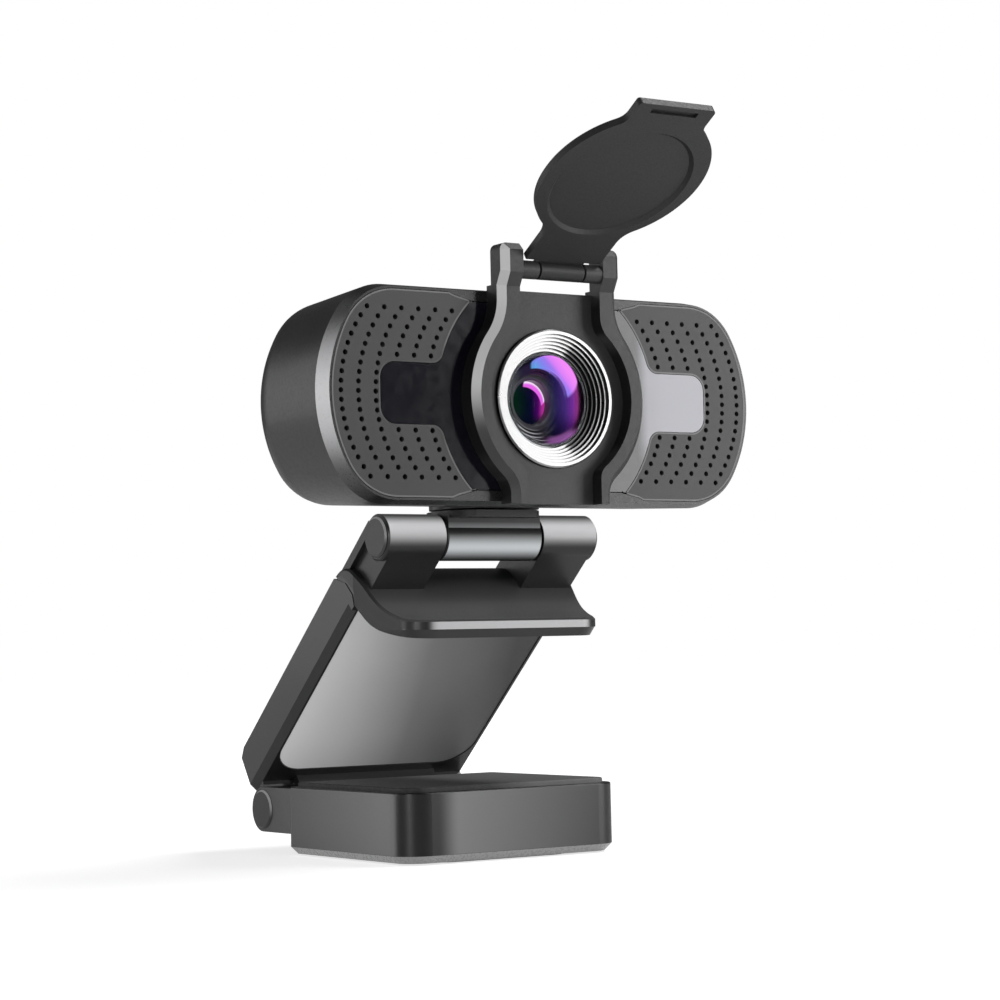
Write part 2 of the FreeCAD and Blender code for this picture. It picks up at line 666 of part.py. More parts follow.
def lip_bevel():
    """Plan outline that draws in below the seam, so the lower edge of the lip is bevelled."""
    def bottom(solid):
        return lowest_face(solid).OuterWire
    low = bottom(lip_plan(LIP_LOW, 0, 1.1))
    seam = bottom(lip_plan(LIP_SEAM, 0, 0.12))
    return Part.makeLoft([low, seam], True, True).fuse(lip_plan(LIP_SEAM, 0, 0.12))


def lowest_face(solid):
    """The lowest flat face of a solid."""
    return min(solid.Faces, key=lambda face: face.CenterOfMass.z)


def leg_blank():
    """Side profile of the slanting plate with its lower corner cut to the hinge."""
    back = []
    back.append(leg_point(LEG_BACK, 14.2))
    back.append(leg_point(LEG_BACK, 58.2))
    back.append(leg_point(LEG_BACK - 0.9, 60.1))
    back.append((43.2, -43.4))
    back.append((40.3, -42.6))
    foot = leg_point(LEG_FRONT, 58.2)
    points = back + [(foot[0], foot[1])]
    points.append(leg_point(LEG_FRONT, 12.5))
    points.append((7.4, -9.2))
    points.append((9.6, -7.2))
    return points


def leg_shell():
    plate = side_prism(leg_blank(), -LEG_X, LEG_X)
    layer = curve_prism(SEAM_CURVE, LOW_CURVE, -LEG_X, LEG_X).common(lip_bevel())
    body = plate.fuse(layer).removeSplitter()
    body = body.cut(rim_bevels())
    # recess that takes the satin panel
    body = body.cut(panel_blank(0.08, 1.0, -0.5))
    # room for the hinge knuckles of the base, and the leg's own knuckle
    for side in (-1, 1):
        x0, x1 = sorted((side * (KNUCKLE_X - 0.3), side * 30))
        body = body.cut(cyl_x(FOLD_Y, FOLD_Z, 4.3, x0, x1))
    own = KNUCKLE_X - 0.35
    knuckle = cyl_x(FOLD_Y, FOLD_Z, BARREL_R, -own, own)
    web = side_prism([(FOLD_Y - 3.3, FOLD_Z + 2.0), (39.2, -41.9), leg_point(LEG_FRONT + 0.4, 57.0),
                      leg_point(LEG_BACK - 0.9, 60.1), (44.3, -45.2)], -own, own)
    body = body.fuse([knuckle, web]).removeSplitter()
    return body.cut(cyl_x(FOLD_Y, FOLD_Z, PIN_BORE, -30, 30))


def rim_bevels():
    """Long wedges that bevel the side edges of the leg's front face."""
    out = []
    start = leg_point(LEG_FRONT, 13.5)
    run = leg_point(0, 60)
    inward = leg_point(1.5, 0)
    outward = leg_point(-1.5, 0)
    for side in (-1, 1):
        x_rim = side * (LEG_X - 0.9)
        x_far = side * (LEG_X + 2)
        x_edge = side * LEG_X
        loop = [V(x_rim, start[0], start[1]),
                V(x_rim, start[0] + outward[0], start[1] + outward[1]),
                V(x_far, start[0] + outward[0], start[1] + outward[1]),
                V(x_far, start[0] + inward[0], start[1] + inward[1]),
                V(x_edge, start[0] + inward[0], start[1] + inward[1])]
        loop.append(loop[0])
        wedge = Part.Face(Part.makePolygon(loop)).extrude(V(0, run[0], run[1]))
        out.append(wedge)
    return out


def panel_blank(gap, depth, lift):
    """Satin panel let into the front face of the leg; grown by gap for its recess."""
    x = 20.2 + gap
    s0 = 12.9
    s1 = 55.3 + gap
    slab = Part.makeBox(2 * x, s1 - s0, depth - lift, V(-x, 0, 0))
    spots = [(-x, s1 - s0), (x, s1 - s0)]
    slab = slab.makeFillet(6.0, edges_z(slab, spots))
    # local Y runs down the leg, local Z runs into the leg
    y, z = leg_point(LEG_FRONT + lift, s0)
    down = V(0, math.cos(LEG_A), -math.sin(LEG_A))
    inward = V(0, math.sin(LEG_A), math.cos(LEG_A))
    turn = FreeCAD.Matrix(1, 0, 0, 0,
                          0, down.y, inward.y, y,
                          0, down.z, inward.z, z,
                          0, 0, 0, 1)
    slab = slab.copy()
    slab.Placement = FreeCAD.Placement(turn).multiply(slab.Placement)
    return slab


def leg_panel():
    return panel_blank(0, 0.95, 0.15)


def lip_cover():
    body = curve_prism(TOP_CURVE, SEAM_CURVE, -LEG_X, LEG_X).common(lip_plan(-40, 0))
    curved = [face for face in body.Faces if face.Surface.TypeId == "Part::GeomSurfaceOfExtrusion"]
    top = max(curved, key=lambda face: face.CenterOfMass.z)
    edges = [edge for edge in top.Edges if edge.BoundBox.YMin < 10]
    body = body.makeChamfer(0.35, edges)
    adds = []
    for side in (-1, 1):
        x0, x1 = sorted((side * ARM_IN, side * BARREL_X))
        tube = cyl_x(0, 0, BARREL_R, x0, x1)
        adds.append(tube.makeChamfer(0.3, edges_at(tube, 0, side * BARREL_X)))
        x0, x1 = sorted((side * ARM_IN, side * ARM_OUT))
        n = BARREL_R - 0.02
        adds.append(side_prism([leg_point(-n, 0), leg_point(-n, 9.6), (8.8, -5.8),
                                leg_point(n, 13.0), leg_point(n, 0)], x0, x1))
        x0, x1 = sorted((side * (ARM_OUT - 1), side * BARREL_X))
        adds.append(side_prism([leg_point(2.3, 0), leg_point(2.3, 11.6),
                                leg_point(n, 13.0), leg_point(n, 0)], x0, x1))
    body = body.fuse(adds).removeSplitter()
    cuts = [cyl_x(0, 0, PIN_BORE, -30, 30), cyl_x(0, 0, 3.2, -30, -17.6),
            cyl_x(0, 0, 3.2, 17.6, 30), cyl_x(0, 0, 3.45, -30, -20.6),
            cyl_x(0, 0, 3.45, 20.6, 30)]
    return body.cut(cuts)


def hexagon_x(r, x0, x1):
    loop = []
    for i in range(6):
        a = math.radians(60 * i)
        loop.append(V(x0, r * math.cos(a), r * math.sin(a)))
    loop.append(loop[0])
    return Part.Face(Part.makePolygon(loop)).extrude(V(x1 - x0, 0, 0))


def tilt_bolt():
    head = hexagon_x(2.75, -20.1, -18.3)
    return head.fuse(cyl_x(0, 0, PIN_R, -18.3, 20.0)).removeSplitter()


def tilt_nut():
    return hexagon_x(2.75, 18.3, 20.1).cut(cyl_x(0, 0, PIN_R, 18, 21))


def tilt_washers():
    ring = cyl_x(0, 0, 3.0, 17.6, 18.3).cut(cyl_x(0, 0, PIN_BORE, 17, 19))
    return both(ring)


def end_cap(y, z, x_in, x_out, r, plug):
    cap = cyl_x(y, z, r, x_in, x_out)
    cap = cap.makeChamfer(0.3, edges_at(cap, 0, x_out))
    return cap.fuse(cyl_x(y, z, plug, x_in - 0.35, x_in)).removeSplitter()


def tilt_caps():
    return both(end_cap(0, 0, 20.6, 21.4, 3.4, 3.15))


# ---- base --------------------------------------------------------------------
SCREW_SPOTS = [(x, y) for x in (-16.6, 16.6) for y in (-3.2, 26.3)]
MID_Y = (BASE_Y0 + BASE_Y1) / 2


def base_plan(inset, z0, z1):
    x = BASE_X - inset
    y0 = BASE_Y0 + inset
    y1 = BASE_Y1 - inset
    solid = box(-x, x, y0, y1, z0, z1)
    solid = solid.makeFillet(5.0 - inset, edges_z(solid, [(-x, y0), (x, y0)]))
    return solid.makeFillet(max(0.6, 1.8 - inset), edges_z(solid, [(-x, y1), (x, y1)]))


def base_shell():
    body = base_plan(0, BASE_SPLIT, BASE_TOP)
    body = body.makeFillet(0.25, edges_at(body, 2, BASE_TOP))
    body = body.cut(base_plan(2.0, BASE_SPLIT - 1, BASE_TOP - 2.0))
    adds = [cyl_z(0, MID_Y, 6.6, BASE_SPLIT, BASE_TOP - 1.0)]
    for x, y in SCREW_SPOTS:
        adds.append(cyl_z(x, y, 2.5, BASE_SPLIT, BASE_TOP - 1.0))
    for side in (-1, 1):
        x0, x1 = sorted((side * KNUCKLE_X, side * 21.2))
        lug = box(x0, x1, BASE_Y1 - 1.5, FOLD_Y, FOLD_Z - BARREL_R, FOLD_Z + BARREL_R)
        adds += [lug, cyl_x(FOLD_Y, FOLD_Z, BARREL_R, x0, x1)]
    body = body.fuse(adds).removeSplitter()
    cuts = [cyl_z(0, MID_Y, 4.8, BASE_SPLIT - 1, BASE_TOP - 2.6)]
    for x, y in SCREW_SPOTS:
        cuts.append(cyl_z(x, y, 1.05, BASE_SPLIT - 1, BASE_TOP - 3.0))
    cuts.append(cyl_x(FOLD_Y, FOLD_Z, PIN_BORE, -30, 30))
    cuts.append(cyl_x(FOLD_Y, FOLD_Z, 3.45, -30, -20.3))
    cuts.append(cyl_x(FOLD_Y, FOLD_Z, 3.45, 20.3, 30))
    return body.cut(cuts)


def base_pad():
    pad = base_plan(1.4, BASE_TOP, PAD_TOP)
    return pad.makeChamfer(0.15, edges_at(pad, 2, PAD_TOP))


def base_cover():
    plate = base_plan(0, BASE_BOTTOM, BASE_SPLIT)
    plate = plate.makeChamfer(1.25, edges_at(plate, 2, BASE_BOTTOM))
    lip = base_plan(2.15, BASE_SPLIT - 0.5, BASE_SPLIT + 1.2)
    lip = lip.cut(base_plan(3.3, BASE_SPLIT - 1, BASE_SPLIT + 2))
    keep_out = [cyl_z(x, y, 3.2, -54, -50) for x, y in SCREW_SPOTS]
    plate = plate.fuse(lip.cut(keep_out)).removeSplitter()
    cuts = [cyl_z(0, MID_Y, 4.85, -60, -50), foot_blank(0.08)]
    for x, y in SCREW_SPOTS:
        cuts.append(cyl_z(x, y, 1.15, -60, -50))
        cuts.append(cyl_z(x, y, 2.0, -60, BASE_SPLIT - 0.5))
    return plate.cut(cuts)


def foot_blank(gap):
    z1 = FOOT_BOTTOM + 0.75
    return rounded_box(-12.9 - gap, 12.9 + gap, -4.6 - gap, 27.6 + gap, FOOT_BOTTOM, z1, 3.0)


def rubber_foot():
    pad = foot_blank(0)
    pad = pad.cut(cyl_z(0, MID_Y, 6.2, -60, -50))
    return pad


def tripod_insert():
    body = cyl_z(0, MID_Y, 4.75, FOOT_BOTTOM, BASE_TOP - 2.7)
    body = body.cut([Part.makeTorus(4.95, 0.45, V(0, MID_Y, z)) for z in (-50.6, -48.6, -46.6)])
    return body.cut(cyl_z(0, MID_Y, TRIPOD_R, -60, BASE_TOP - 3.8))


def base_screws():
    out = []
    for x, y in SCREW_SPOTS:
        out.append(pointed(screw(1.8, 0.7, 1.0, 7.0), (0, 0, -1), (x, y, BASE_SPLIT - 0.5)))
    return out


def fold_pin():
    return cyl_x(FOLD_Y, FOLD_Z, PIN_R, -19.9, 19.9)


def fold_caps():
    return both(end_cap(FOLD_Y, FOLD_Z, 20.35, 21.55, 3.4, 1.5))


PARTS = [
    ("base_shell", base_shell), ("base_pad", base_pad), ("base_cover", base_cover),
    ("rubber_foot", rubber_foot), ("tripod_insert", tripod_insert),
    ("base_screws", base_screws), ("fold_pin", fold_pin), ("fold_caps", fold_caps),
    ("leg_shell", leg_shell), ("leg_panel", leg_panel), ("lip_cover", lip_cover),
    ("tilt_bolt", tilt_bolt), ("tilt_nut", tilt_nut), ("tilt_washers", tilt_washers),
    ("tilt_caps", tilt_caps),
    ("neck_block", neck_block), ("swivel_washer", swivel_washer),
    ("swivel_screw", swivel_screw),
    ("rear_housing", rear_housing), ("front_bezel", front_bezel),
    ("grille_right", grille_right), ("fascia_panel", fascia_panel),
    ("housing_screws", housing_screws), ("lens_ring", lens_ring),
    ("lens_barrel", lens_barrel), ("lens_front", lens_front),
    ("lens_retainer", lens_retainer), ("lens_rear", lens_rear),
    ("lens_holder", lens_holder), ("ir_filter", ir_filter),
    ("image_sensor", image_sensor), ("main_board", main_board),
    ("board_screws", board_screws), ("image_processor", image_processor),
    ("cable_socket", cable_socket), ("cable_gland", cable_gland),
    ("microphones", microphones), ("mic_boots", mic_boots), ("status_led", status_led),
    ("shutter_frame", shutter_frame), ("shutter_pin", shutter_pin),
    ("shutter_flap", shutter_flap),
]

os.makedirs("parts", exist_ok=True)
for part_name, maker in PARTS:
    save(part_name, maker())
save("grille_left", mirror_x(grille_right()))
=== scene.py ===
"""The looks of a webcam on a folding clip stand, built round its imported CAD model."""
import math

import bmesh
import bpy
from mathutils import Matrix, Vector


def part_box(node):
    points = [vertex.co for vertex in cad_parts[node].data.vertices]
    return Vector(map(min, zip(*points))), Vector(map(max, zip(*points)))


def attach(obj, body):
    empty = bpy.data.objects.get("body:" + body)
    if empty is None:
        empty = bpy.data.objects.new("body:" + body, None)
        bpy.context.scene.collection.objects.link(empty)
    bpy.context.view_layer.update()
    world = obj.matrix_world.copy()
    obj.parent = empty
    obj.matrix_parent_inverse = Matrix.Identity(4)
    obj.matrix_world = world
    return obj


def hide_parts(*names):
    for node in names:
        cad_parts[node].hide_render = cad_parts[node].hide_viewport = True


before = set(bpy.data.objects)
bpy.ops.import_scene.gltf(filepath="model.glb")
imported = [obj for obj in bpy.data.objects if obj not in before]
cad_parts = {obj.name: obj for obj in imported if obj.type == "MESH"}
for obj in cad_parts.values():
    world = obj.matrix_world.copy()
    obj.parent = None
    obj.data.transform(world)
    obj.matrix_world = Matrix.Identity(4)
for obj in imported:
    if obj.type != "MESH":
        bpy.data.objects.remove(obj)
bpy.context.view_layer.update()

MM = 0.001
RING_LO, RING_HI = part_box("lens_ring")
AXIS_X = (RING_LO.x + RING_HI.x) / 2          # optical axis
AXIS_Z = (RING_LO.z + RING_HI.z) / 2
RING_R = (RING_HI.x - RING_LO.x) / 2
RING_FRONT = RING_LO.y                        # front edge of the silver ring

# Camera: where it stands, which way it looks, how it is turned about its line of sight, its lens.
CAMERA_AT = Vector((-0.24912, -0.39176, 0.03440))
CAMERA_AZIMUTH = -33.5987
CAMERA_ELEVATION = -3.2164
CAMERA_ROLL = -1.3372
CAMERA_LENS_MM = 96.93
CAMERA_SENSOR_MM = 36.0
CAMERA_CLIP = (0.01, 20.0)

# Studio.
LIGHTS_AIM = Vector((0, 0, 0.06))
SURROUND_SEEN = 1.0                           # what the camera sees behind the object
SURROUND_FELT = (0.09, 0.09, 0.092)           # what lights it and shows in its reflections
FLOOR_SIZE = 4.0
FLOOR_TONE = (0.70, 0.72)
FLOOR_GLOW = (0.72, 1.0)                      # near the object, and far away
FLOOR_GLOW_AT = (0.10, 0.45)                  # metres from the middle, for each of the two
FLOOR_BOUNCE = 0.22                           # light the floor sends back to the object

# Built pieces.
TURNED_STEPS = 144
SMOOTH_BELOW = math.radians(35)               # an edge sharper than this stays crisp
ELEMENT_R = (7.8 * MM, 7.2 * MM)              # front element: its front and its back face
ELEMENT_BULGE = (1.0 * MM, 0.9 * MM)
RETAINER_R = (7.36 * MM, 6.9 * MM, 6.5 * MM)  # retaining ring: outside, top of its chamfer, bore
RETAINER_DEEP = (0.5 * MM, 0.8 * MM)          # foot of the chamfer, and the ring's back
REAR_BULGE = 0.9 * MM
BEAD_WIDE, BEAD_PROUD, BEAD_SUNK = 0.26 * MM, 0.03 * MM, 0.12 * MM


# ---- material helpers ----------------------------------------------------------
def grey(value, tint=(1.0, 1.0, 1.0)):
    return tuple(value * part for part in tint)


class Look:
    """One node material: a Principled shader and the few nodes that feed it."""

    def __init__(self, name):
        self.made = bpy.data.materials.new(name)
        self.made.use_nodes = True
        self.tree = self.made.node_tree
        self.shader = self.tree.nodes["Principled BSDF"]
        self.coords = self.node("ShaderNodeTexCoord").outputs["Object"]

    def node(self, kind):
        return self.tree.nodes.new(kind)

    def join(self, source, target):
        self.tree.links.new(source, target)

    def set(self, **values):
        for key, value in values.items():
            self.shader.inputs[key.replace("_", " ")].default_value = value

    def feed(self, value, key):
        self.join(value, self.shader.inputs[key])

    # Where a point is on the resting object.
    def place(self):
        """Object coordinates in metres, one output each."""
        parts = self.node("ShaderNodeSeparateXYZ")
        self.join(self.coords, parts.inputs[0])
        return parts.outputs["X"], parts.outputs["Y"], parts.outputs["Z"]

    def facing(self):
        """The surface direction on the resting object, one output each."""
        parts = self.node("ShaderNodeSeparateXYZ")
        self.join(self.node("ShaderNodeTexCoord").outputs["Normal"], parts.inputs[0])
        return parts.outputs["X"], parts.outputs["Y"], parts.outputs["Z"]

    def across(self):
        """Millimetres to the right of the optical axis and above it."""
        x, _, z = self.place()
        right = self.product(self.math("SUBTRACT", x, AXIS_X), 1.0 / MM)
        high = self.product(self.math("SUBTRACT", z, AXIS_Z), 1.0 / MM)
        return right, high

    # Sums.
    def math(self, kind, first, second=0.0):
        made = self.node("ShaderNodeMath")
        made.operation = kind
        for socket, value in zip(made.inputs, (first, second)):
            if isinstance(value, (int, float)):
                socket.default_value = value
            else:
                self.join(value, socket)
        return made.outputs["Value"]

    def product(self, first, *others):
        for other in others:
            first = self.math("MULTIPLY", first, other)
        return first

    def without(self, amount):
        """What is left of 1 when an amount is taken from it."""
        return self.math("SUBTRACT", 1.0, amount)

    def size(self, value):
        return self.math("ABSOLUTE", value)

    def off(self, value, centre):
        """Distance from a centre, to whichever side."""
        return self.size(self.math("SUBTRACT", value, centre))

    def length(self, first, second):
        """Length of a pair of lengths at right angles."""
        return self.math("SQRT", self.math("ADD", self.product(first, first), self.product(second, second)))

    # Amounts that change over a surface.
    def spread(self, value, low, high, start=0.3, end=0.7, smooth=False):
        """low where the value is start or less, high where it is end or more."""
        made = self.node("ShaderNodeMapRange")
        if smooth:
            made.interpolation_type = "SMOOTHSTEP"
        for key, number in (("From Min", start), ("From Max", end), ("To Min", low), ("To Max", high)):
            made.inputs[key].default_value = number
        self.join(value, made.inputs["Value"])
        return made.outputs["Result"]

    def rise(self, value, start, end, smooth=False):
        return self.spread(value, 0.0, 1.0, start, end, smooth)

    def fall(self, value, start, end, smooth=False):
        return self.spread(value, 1.0, 0.0, start, end, smooth)

    def bell(self, value, low, peak, high):
        """Rises from 0 at low to 1 at peak and falls to 0 at high."""
        return self.product(self.rise(value, low, peak, smooth=True),
                            self.fall(value, peak, high, smooth=True))

    def disc(self, right, high, centre, radius, soft=0.25):
        """1 inside a circle drawn on the lens, 0 outside it."""
        dx = self.math("SUBTRACT", right, centre[0])
        dz = self.math("SUBTRACT", high, centre[1])
        return self.fall(self.length(dx, dz), radius - soft, radius + soft, smooth=True)

    def stretched(self, scale):
        mapping = self.node("ShaderNodeMapping")
        mapping.inputs["Scale"].default_value = scale
        self.join(self.coords, mapping.inputs["Vector"])
        return mapping.outputs["Vector"]

    def noise(self, scale, detail=3.0, vector=None):
        made = self.node("ShaderNodeTexNoise")
        made.inputs["Scale"].default_value = scale
        made.inputs["Detail"].default_value = detail
        self.join(vector or self.coords, made.inputs["Vector"])
        return made.outputs["Fac"]

    # Colour and relief.
    def ramp(self, value, stops):
        made = self.node("ShaderNodeValToRGB")
        points = made.color_ramp.elements
        points[0].position, points[1].position = stops[0][0], stops[-1][0]
        points[0].color, points[1].color = (*stops[0][1], 1.0), (*stops[-1][1], 1.0)
        for where, colour in stops[1:-1]:
            points.new(where).color = (*colour, 1.0)
        self.join(value, made.inputs["Fac"])
        return made.outputs["Color"]

    def mottled(self, value, dark, light):
        """A noise's value turned into a tone between two colours."""
        return self.ramp(value, [(0.3, dark), (0.7, light)])

    def mix(self, amount, first, second):
        made = self.node("ShaderNodeMix")
        made.data_type = "RGBA"
        self.join(amount, made.inputs[0])
        for socket, value in ((made.inputs[6], first), (made.inputs[7], second)):
            if isinstance(value, tuple):
                socket.default_value = (*value, 1.0)
            else:
                self.join(value, socket)
        return made.outputs[2]

    def bump(self, height, depth_mm):
        made = self.node("ShaderNodeBump")
        made.inputs["Strength"].default_value = 1.0
        made.inputs["Distance"].default_value = depth_mm * MM
        self.join(height, made.inputs["Height"])
        self.join(made.outputs["Normal"], self.shader.inputs["Normal"])


# ---- painted light and painted shade ---------------------------------------------
# The colour of each painted highlight or reflection, and how strongly it glows.
WINDOW_REFLECTION = (0.25, 0.25, 0.28), 0.20
CLIP_HIGHLIGHT = (0.56, 0.56, 0.57), 0.68
NECK_HIGHLIGHT = (0.40, 0.42, 0.43), 0.60
CAP_HIGHLIGHT = grey(0.30), 0.50
BEZEL_HIGHLIGHT = (0.46, 0.46, 0.47), 0.28
FRAME_HIGHLIGHT = grey(0.34), 0.62
BASE_PAINTED_LIGHT = grey(0.12), 0.45
PAD_PAINTED_LIGHT = grey(0.10), 0.30
BEVEL_HIGHLIGHT = grey(0.19), 0.70
LENS_BARREL_HIGHLIGHT = grey(0.46), 0.80
# Colour that painted shade fades to; also the rear element's base colour.
NEAR_BLACK = grey(0.002)


def window_painted_reflection(look):
    """Painted reflection: the right window is pale, and less so at its foot; the left one stays dark."""
    x, _, z = look.place()
    side = look.rise(x, AXIS_X + 17.5 * MM, AXIS_X + 20.5 * MM, smooth=True)
    height = look.rise(z, AXIS_Z - 12 * MM, AXIS_Z - 6 * MM)
    return look.product(side, height), *WINDOW_REFLECTION


def hinge_barrel_painted_highlight(look, low, peak, high):
    """A painted highlight band along the front of the hinge barrels about the head's tilt axis, brightest
    where the surface direction's upward part is peak. The flat ends of the barrels stay out of it."""
    _, y, z = look.place()
    nx, ny, nz = look.facing()
    bolt_lo, bolt_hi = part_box("tilt_bolt")
    dy = look.math("SUBTRACT", y, (bolt_lo.y + bolt_hi.y) / 2)
    dz = look.math("SUBTRACT", z, (bolt_lo.z + bolt_hi.z) / 2)
    near = look.fall(look.length(dy, dz), 4.0 * MM, 4.4 * MM)
    round_part = look.fall(look.size(nx), 0.1, 0.3)
    forward = look.fall(ny, -0.2, 0.1)
    return look.product(near, round_part, forward, look.bell(nz, low, peak, high))


def clip_painted_highlights(look):
    """Painted highlights: pale bands on the upper front of the outer barrels and along the middle of the
    lip's front edge, and a faint one on the lip's hollow top."""
    barrels = hinge_barrel_painted_highlight(look, -0.48, 0.50, 1.02)
    x, y, _ = look.place()
    _, ny, nz = look.facing()
    low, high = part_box("lip_cover")
    edge = look.product(look.fall(ny, -0.97, -0.85), look.fall(y, low.y + 0.1 * MM, low.y + 0.5 * MM))
    reach = look.fall(look.off(x, (low.x + high.x) / 2), 14.5 * MM, 17.0 * MM, smooth=True)
    top = look.product(look.spread(nz, 0.0, 0.11, 0.35, 0.9),
                       look.fall(y, low.y + 9 * MM, low.y + 14 * MM))
    bands = look.math("MAXIMUM", barrels, look.product(edge, reach, 0.50))
    return look.math("MAXIMUM", bands, top), *CLIP_HIGHLIGHT


def neck_painted_highlight(look):
    """The middle barrel's painted highlight band lies low on its front."""
    return hinge_barrel_painted_highlight(look, -1.0, -0.45, 0.18), *NECK_HIGHLIGHT


def cap_rim_painted_highlight(look):
    """The rounded rim of a cap carries a painted highlight, a thin light line along its upper half."""
    nx, _, nz = look.facing()
    rim = look.bell(look.size(nx), 0.25, 0.6, 0.95)
    return look.product(rim, look.spread(nz, 0.1, 1.0, -0.3, 0.4)), *CAP_HIGHLIGHT


def bezel_painted_highlight(look):
    """The bevelled band round the bezel is satin silver at the sides, as a glowing painted highlight, and
    dark along the top and bottom.
    """
    nx, ny, _ = look.facing()
    _, _, z = look.place()
    side = look.rise(look.size(nx), 0.42, 0.90, smooth=True)
    bevel = look.fall(look.size(ny), 0.5, 0.8)
    level = look.spread(look.off(z, AXIS_Z), 1.0, 0.12, 4.0 * MM, 13.0 * MM, smooth=True)
    return look.product(level, side, bevel), *BEZEL_HIGHLIGHT


def bead_painted_shade(look):
    """Painted shade: the bead is dark where it follows the left window arm."""
    x, _, z = look.place()
    level = look.spread(look.off(z, AXIS_Z), 0.8, 0.0, 6.5 * MM, 9.0 * MM, smooth=True)
    return look.product(level, look.bell(x, AXIS_X - 35 * MM, AXIS_X - 30 * MM, AXIS_X))


def housing_painted_shade(look):
    """Painted shade: the end of the housing turns dark as it rounds away to the back."""
    _, ny, _ = look.facing()
    return look.spread(ny, 0.0, 0.75, 0.02, 0.55)


def frame_painted_highlight(look):
    """Painted highlight: the bevel on the left of the frame is pale from the ear down to the lens's middle.
    """
    nx, ny, _ = look.facing()
    _, _, z = look.place()
    bevel = look.product(look.fall(nx, -0.40, -0.20), look.bell(ny, -0.92, -0.70, -0.30))
    level = look.spread(z, 0.05, 1.0, AXIS_Z - 6 * MM, AXIS_Z + 3 * MM, smooth=True)
    return look.product(bevel, level), *FRAME_HIGHLIGHT


def frame_painted_shade(look):
    """Painted shade: walls of the frame that face left are black below its shoulders, and so is the left
    bevel below the lens's middle."""
    nx, _, _ = look.facing()
    _, _, z = look.place()
    wall = look.product(look.spread(nx, 0.96, 0.0, -0.85, -0.72),
                        look.fall(z, AXIS_Z + 15 * MM, AXIS_Z + 18 * MM))
    bevel = look.product(look.bell(nx, -0.95, -0.60, -0.20),
                         look.spread(z, 0.85, 0.0, AXIS_Z - 8 * MM, AXIS_Z, smooth=True))
    return look.math("MAXIMUM", wall, bevel)


def base_painted_light(look):
    """Painted light: flat faces of the base fade from pale beside the front corner to dark further away."""
    x, y, _ = look.place()
    nx, ny, _ = look.facing()
    low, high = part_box("base_shell")
    left = look.product(look.fall(nx, -0.99, -0.93, smooth=True),
                        look.spread(y, 0.0, 0.9, low.y + 1.5 * MM, low.y + 4.5 * MM, smooth=True),
                        look.spread(y, 1.0, 0.12, low.y + 8 * MM, high.y - 2 * MM))
    front = look.product(look.fall(ny, -0.99, -0.93, smooth=True),
                         look.rise(x, low.x + 6.0 * MM, low.x + 10.5 * MM, smooth=True),
                         look.spread(x, 1.0, 0.05, low.x + 10 * MM, high.x - 4 * MM))
    return look.math("MAXIMUM", left, front), *BASE_PAINTED_LIGHT


def corner_painted_shade(look):
    """Painted shade: the front corner of the base is black, over more of the front face than of the side."""
    x, y, _ = look.place()
    low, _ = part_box("base_shell")
    return look.product(look.fall(x, low.x + 7.0 * MM, low.x + 10.5 * MM, smooth=True),
                        look.fall(y, low.y + 2.0 * MM, low.y + 4.5 * MM, smooth=True))


def pad_painted_light(look):
    """Painted light: the right half of the pad is paler."""
    x, _, _ = look.place()
    low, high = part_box("base_pad")
    middle = (low.x + high.x) / 2
    return look.rise(x, middle - 6 * MM, middle + 6 * MM, smooth=True), *PAD_PAINTED_LIGHT


def bevel_painted_highlight(look):
    """The bevel under the base shows a painted highlight, a pale line on the front and the left."""
    nx, ny, nz = look.facing()
    under = look.bell(nz, -0.95, -0.6, -0.2)
    return look.product(under, look.fall(look.math("MINIMUM", nx, ny), -0.5, -0.2)), *BEVEL_HIGHLIGHT


def lens_barrel_painted_light(look):
    """Painted light inside the barrel: a glowing grey land round the rear element, and painted highlight arcs
    of turned steps low on the left.
    """
    right, high = look.across()
    far = look.length(right, high)
    land = look.bell(far, 3.3, 4.0, 4.9)
    lines = look.bell(look.math("FRACT", look.math("DIVIDE", far, 0.62)), 0.25, 0.5, 0.75)
    low_left = look.product(look.fall(high, -4.6, -2.2, smooth=True), look.fall(right, -0.5, 1.5))
    arcs = look.product(lines, low_left, look.rise(far, 4.4, 5.0))
    return look.math("MAXIMUM", look.product(land, 0.09), arcs), *LENS_BARREL_HIGHLIGHT


# ---- the finishes ------------------------------------------------------------------
def moulded(name, colour, rough, grain_mm=0.35, depth_mm=0.006, tone=0.14, coat=0.0,
            painted_light=None, painted_shade=None):
    """Moulded or painted plastic: slow shifts of tone, a spark-eroded grain, and faint rubbed spots.
    painted_light(look) may give an amount, the colour of a painted highlight or reflection that the finish
    fades to, and its glow;
    painted_shade(look) may give an amount by which it fades to black as painted shade."""
    look = Look(name)
    slow = look.noise(38.0, 4.0)
    fine = look.noise(1.0 / (grain_mm * MM), 2.0)
    rubbed = look.rise(look.noise(90.0, 5.0), 0.60, 0.85)
    tinted = look.mottled(slow, grey(1.0 - tone, colour), grey(1.0 + tone, colour))
    wear_and_painted_light = look.mix(look.product(rubbed, 0.25), tinted, grey(1.5, colour))
    # Painted shade, then painted light, go into the same colour as the rubbed spots.
    if painted_shade:
        wear_and_painted_light = look.mix(painted_shade(look), wear_and_painted_light, NEAR_BLACK)
    if painted_light:
        amount, pale, glow = painted_light(look)
        wear_and_painted_light = look.mix(amount, wear_and_painted_light, pale)
        look.feed(look.mix(amount, grey(0.0), grey(glow, pale)), "Emission Color")
        look.set(Emission_Strength=1.0)
    look.feed(wear_and_painted_light, "Base Color")
    glossy = look.spread(fine, rough * 0.86, rough * 1.14)
    look.feed(look.math("ADD", glossy, look.product(rubbed, 0.05)), "Roughness")
    look.bump(fine, depth_mm)
    look.set(Metallic=0.0, Coat_Weight=coat, Coat_Roughness=0.12)
    return look.made


